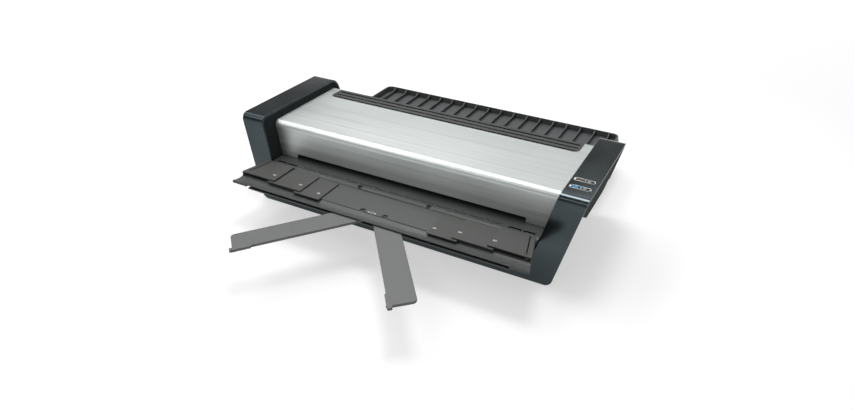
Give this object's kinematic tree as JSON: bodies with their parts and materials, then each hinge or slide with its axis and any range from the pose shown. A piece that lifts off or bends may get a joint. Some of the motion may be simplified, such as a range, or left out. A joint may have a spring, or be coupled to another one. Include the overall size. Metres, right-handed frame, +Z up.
{
  "type": "office laminator",
  "caption": "Wide desktop pouch laminator: silver cover between dark end caps, fold-down feed tray with sliding guides and swing arms, fold-over exit tray.",
  "frame": {"origin": "on the table, under the middle of the whole machine with both trays open", "axes": "+X to the machine's right seen from the front, +Y to the rear, +Z up"},
  "size_m": [0.494, 0.5354, 0.1242],
  "materials": {
    "black_gloss": "smooth satin gloss",
    "black_shell": "fine moulded texture",
    "silver_cover": "brushed along its length",
    "dark_table": "fine moulded texture",
    "grey_tray": "satin",
    "grey_guide": "satin",
    "grey_arm": "satin",
    "black_tray": "fine moulded texture",
    "rubber": "matte",
    "roller_rubber": "silicone, matte",
    "screw_steel": "blackened",
    "steel": "plain",
    "heater_aluminium": "extruded",
    "white_nylon": "moulded nylon",
    "brass": "turned",
    "circuit_board": "solder mask",
    "strip_glass": "clear-coated touch strip"
  },
  "bodies": {
    "housing": {"front_frame": "black_gloss", "left_side_housing": "black_shell", "right_side_housing": "black_shell", "top_cover": "silver_cover", "top_grille": "black_shell", "rear_cover": "black_shell", "base_pan": "black_shell", "rubber_feet": "rubber", "cover_screws": "screw_steel", "entry_table": "dark_table", "table_screws": "screw_steel", "feed_tray_hinge_pins": "steel", "mode_touch_strip": "strip_glass", "power_touch_strip": "strip_glass", "control_board": "circuit_board", "power_board": "circuit_board", "mains_inlet": "black_shell", "switch_housing": "black_shell", "fan_frame": "black_shell", "left_side_plate": "steel", "right_side_plate": "steel", "tie_rods": "steel", "roller_bushes": "white_nylon", "pressure_springs": "steel", "upper_heating_plate": "heater_aluminium", "lower_heating_plate": "heater_aluminium", "thermal_fuse": "white_nylon", "idler_stud": "steel", "motor_body": "steel", "exit_tray_pins": "steel"},
    "feed_tray_assembly": {"feed_tray": "grey_tray", "feed_tray_base": "grey_tray", "arm_pivot_screws": "screw_steel", "left_outer_guide": "grey_guide", "right_outer_guide": "grey_guide"},
    "left_middle_guide": {"left_middle_guide": "grey_guide"},
    "right_middle_guide": {"right_middle_guide": "grey_guide"},
    "left_inner_guide": {"left_inner_guide": "grey_guide"},
    "right_inner_guide": {"right_inner_guide": "grey_guide"},
    "left_support_arm": {"left_support_arm": "grey_arm"},
    "right_support_arm": {"right_support_arm": "grey_arm"},
    "exit_tray": {"exit_tray": "black_tray"},
    "switch_rocker": {"switch_rocker": "black_gloss"},
    "fan_impeller": {"fan_impeller": "black_shell"},
    "idler": {"idler_gear": "white_nylon"},
    "motor_rotor": {"motor_pinion": "brass"},
    "front_lower_roller_set": {"front_lower_roller": "roller_rubber", "front_lower_shaft": "steel", "front_lower_gear": "white_nylon"},
    "front_upper_roller_set": {"front_upper_roller": "roller_rubber", "front_upper_shaft": "steel", "front_upper_gear": "white_nylon"},
    "rear_lower_roller_set": {"rear_lower_roller": "roller_rubber", "rear_lower_shaft": "steel", "rear_lower_gear": "white_nylon"},
    "rear_upper_roller_set": {"rear_upper_roller": "roller_rubber", "rear_upper_shaft": "steel", "rear_upper_gear": "white_nylon"}
  },
  "joints": [
    {"name": "feed_tray_hinge", "type": "hinge", "parent": "housing", "child": "feed_tray_assembly", "pos_m": [0, -0.07407, 0.0542], "axis": [-1, 0, 0], "range_deg": [0, 91]},
    {"name": "exit_tray_hinge", "type": "hinge", "parent": "housing", "child": "exit_tray", "pos_m": [0, 0.10523, 0.0862], "axis": [1, 0, 0], "range_deg": [0, 180]},
    {"name": "left_arm_swing", "type": "hinge", "parent": "feed_tray_assembly", "child": "left_support_arm", "pos_m": [-0.016, -0.12487, 0.0582], "axis": [0, 0, -1], "range_deg": [0, 52.7]},
    {"name": "right_arm_swing", "type": "hinge", "parent": "feed_tray_assembly", "child": "right_support_arm", "pos_m": [0.016, -0.12487, 0.0582], "axis": [0, 0, 1], "range_deg": [0, 52.7]},
    {"name": "left_middle_guide_slide", "type": "slide", "parent": "feed_tray_assembly", "child": "left_middle_guide", "axis": [-1, 0, 0], "range_m": [0, 0.0435]},
    {"name": "right_middle_guide_slide", "type": "slide", "parent": "feed_tray_assembly", "child": "right_middle_guide", "axis": [1, 0, 0], "range_m": [0, 0.0435]},
    {"name": "left_inner_guide_slide", "type": "slide", "parent": "left_middle_guide", "child": "left_inner_guide", "axis": [-1, 0, 0], "range_m": [0, 0.0315]},
    {"name": "right_inner_guide_slide", "type": "slide", "parent": "right_middle_guide", "child": "right_inner_guide", "axis": [1, 0, 0], "range_m": [0, 0.0315]},
    {"name": "switch_rocker_tilt", "type": "hinge", "parent": "housing", "child": "switch_rocker", "pos_m": [0.108, 0.09373, 0.026], "axis": [-1, 0, 0], "range_deg": [0, 12]},
    {"name": "fan_spin", "type": "hinge", "parent": "housing", "child": "fan_impeller", "pos_m": [-0.12, 0.09073, 0.0268], "axis": [0, 1, 0], "continuous": true},
    {"name": "front_lower_roller_spin", "type": "hinge", "parent": "housing", "child": "front_lower_roller_set", "pos_m": [0, -0.00727, 0.052], "axis": [1, 0, 0], "continuous": true},
    {"name": "front_upper_roller_spin", "type": "hinge", "parent": "housing", "child": "front_upper_roller_set", "pos_m": [0, -0.00727, 0.0764], "axis": [1, 0, 0], "continuous": true},
    {"name": "rear_lower_roller_spin", "type": "hinge", "parent": "housing", "child": "rear_lower_roller_set", "pos_m": [0, 0.04885, 0.052], "axis": [1, 0, 0], "continuous": true},
    {"name": "rear_upper_roller_spin", "type": "hinge", "parent": "housing", "child": "rear_upper_roller_set", "pos_m": [0, 0.04885, 0.0764], "axis": [1, 0, 0], "continuous": true},
    {"name": "idler_spin", "type": "hinge", "parent": "housing", "child": "idler", "pos_m": [0.182, 0.02079, 0.052], "axis": [1, 0, 0], "continuous": true},
    {"name": "motor_spin", "type": "hinge", "parent": "housing", "child": "motor_rotor", "pos_m": [0.17, 0.02079, 0.0276], "axis": [1, 0, 0], "continuous": true}
  ],
  "couplings": [
    {"joint": "front_upper_roller_spin", "follows": "front_lower_roller_spin", "ratio": -1},
    {"joint": "rear_lower_roller_spin", "follows": "front_lower_roller_spin", "ratio": 1},
    {"joint": "rear_upper_roller_spin", "follows": "front_lower_roller_spin", "ratio": -1},
    {"joint": "idler_spin", "follows": "front_lower_roller_spin", "ratio": -0.76923},
    {"joint": "motor_spin", "follows": "front_lower_roller_spin", "ratio": 1.4286}
  ]
}
